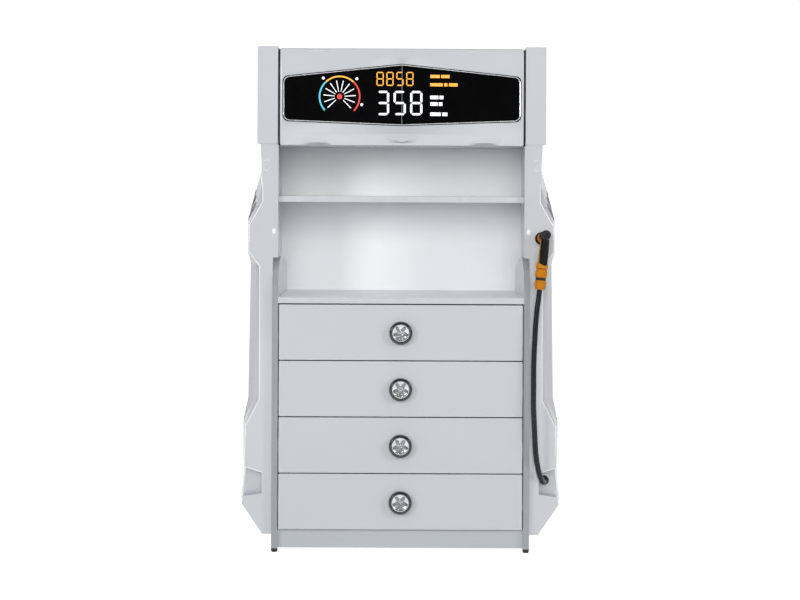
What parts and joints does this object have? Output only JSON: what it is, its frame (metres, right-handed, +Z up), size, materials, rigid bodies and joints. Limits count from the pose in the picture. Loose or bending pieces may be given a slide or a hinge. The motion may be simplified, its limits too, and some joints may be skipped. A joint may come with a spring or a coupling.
{
  "type": "gas pump",
  "caption": "Child's chest of drawers with an open two-bay niche, moulded to look like a fuel pump: display header, flared side shells, and a toy nozzle on a hose.",
  "frame": {"origin": "on the floor, under the middle of the bounding box", "axes": "+X is the viewer's right, +Y is the back of the cabinet, +Z is up"},
  "size_m": [0.966, 0.4585, 1.5],
  "materials": {
    "white_board": "satin white melamine on board",
    "edge_banded_board": "satin pale grey melamine with matching edge band",
    "back_hardboard": "white coated hardboard",
    "shell_plastic": "glossy white moulded plastic",
    "display_film": "glossy black printed display plate",
    "black_plastic": "black moulded plastic",
    "zinc_steel": "zinc plated steel",
    "hose_rubber": "smooth dark hose",
    "knob_rubber": "black soft plastic tyre",
    "knob_silver": "silver painted wheel rim",
    "yellow_plastic": "yellow-orange moulded plastic",
    "soft_grip": "black soft-touch grip"
  },
  "bodies": {
    "cabinet": {"outer_side_left": "white_board", "outer_side_right": "white_board", "lower_panel_left": "edge_banded_board", "lower_panel_right": "edge_banded_board", "base_board": "white_board", "kick_board": "white_board", "deck_board": "edge_banded_board", "upper_shelf": "edge_banded_board", "niche_ceiling": "white_board", "top_board": "white_board", "back_panel": "back_hardboard", "header_shell": "shell_plastic", "display_panel": "display_film", "side_shell_left": "shell_plastic", "side_shell_right": "shell_plastic", "glide_feet": "black_plastic", "shelf_pins": "zinc_steel", "cabinet_runners": "zinc_steel", "back_screws": "zinc_steel", "holster_sleeve": "black_plastic", "hose_gland": "black_plastic", "hose": "hose_rubber"},
    "drawer_1": {"drawer_1_front": "white_board", "drawer_1_sides": "white_board", "drawer_1_back": "white_board", "drawer_1_bottom": "back_hardboard", "drawer_1_runners": "zinc_steel", "drawer_1_knob_tyre": "knob_rubber", "drawer_1_knob_rim": "knob_silver"},
    "drawer_2": {"drawer_2_front": "white_board", "drawer_2_sides": "white_board", "drawer_2_back": "white_board", "drawer_2_bottom": "back_hardboard", "drawer_2_runners": "zinc_steel", "drawer_2_knob_tyre": "knob_rubber", "drawer_2_knob_rim": "knob_silver"},
    "drawer_3": {"drawer_3_front": "white_board", "drawer_3_sides": "white_board", "drawer_3_back": "white_board", "drawer_3_bottom": "back_hardboard", "drawer_3_runners": "zinc_steel", "drawer_3_knob_tyre": "knob_rubber", "drawer_3_knob_rim": "knob_silver"},
    "drawer_4": {"drawer_4_front": "white_board", "drawer_4_sides": "white_board", "drawer_4_back": "white_board", "drawer_4_bottom": "back_hardboard", "drawer_4_runners": "zinc_steel", "drawer_4_knob_tyre": "knob_rubber", "drawer_4_knob_rim": "knob_silver"},
    "nozzle": {"gun_body": "yellow_plastic", "gun_grip": "soft_grip", "trigger_pin": "zinc_steel", "coupling_core": "black_plastic", "coupling_nut": "yellow_plastic"},
    "trigger_lever": {"trigger": "yellow_plastic"},
    "flow_control": {"flow_knob": "black_plastic"},
    "collar": {"coupling_collar": "yellow_plastic"}
  },
  "joints": [
    {"name": "drawer_1_slide", "type": "slide", "parent": "cabinet", "child": "drawer_1", "axis": [0, -1, 0], "range_m": [0, 0.26]},
    {"name": "drawer_2_slide", "type": "slide", "parent": "cabinet", "child": "drawer_2", "axis": [0, -1, 0], "range_m": [0, 0.26]},
    {"name": "drawer_3_slide", "type": "slide", "parent": "cabinet", "child": "drawer_3", "axis": [0, -1, 0], "range_m": [0, 0.26]},
    {"name": "drawer_4_slide", "type": "slide", "parent": "cabinet", "child": "drawer_4", "axis": [0, -1, 0], "range_m": [0, 0.26]},
    {"name": "nozzle_pull", "type": "slide", "parent": "cabinet", "child": "nozzle", "axis": [0.1365, -0.9692, 0.2048], "range_m": [0, 0.08], "deforming": ["hose"]},
    {"name": "trigger_squeeze", "type": "hinge", "parent": "nozzle", "child": "trigger_lever", "pos_m": [0.4187, -0.184, 0.914], "axis": [-1, 0, 0], "range_deg": [0, 12], "stiffness_Nm_per_rad": 0.2, "springref_deg": -5.73},
    {"name": "flow_turn", "type": "hinge", "parent": "nozzle", "child": "flow_control", "pos_m": [0.426, -0.228, 0.945], "axis": [0.1365, -0.9692, 0.2048], "range_deg": [0, 270]},
    {"name": "collar_release", "type": "slide", "parent": "nozzle", "child": "collar", "axis": [-0.0892, -0.0094, -0.996], "range_m": [0, 0.004], "stiffness_N_per_m": 200, "springref_m": -0.002}
  ]
}
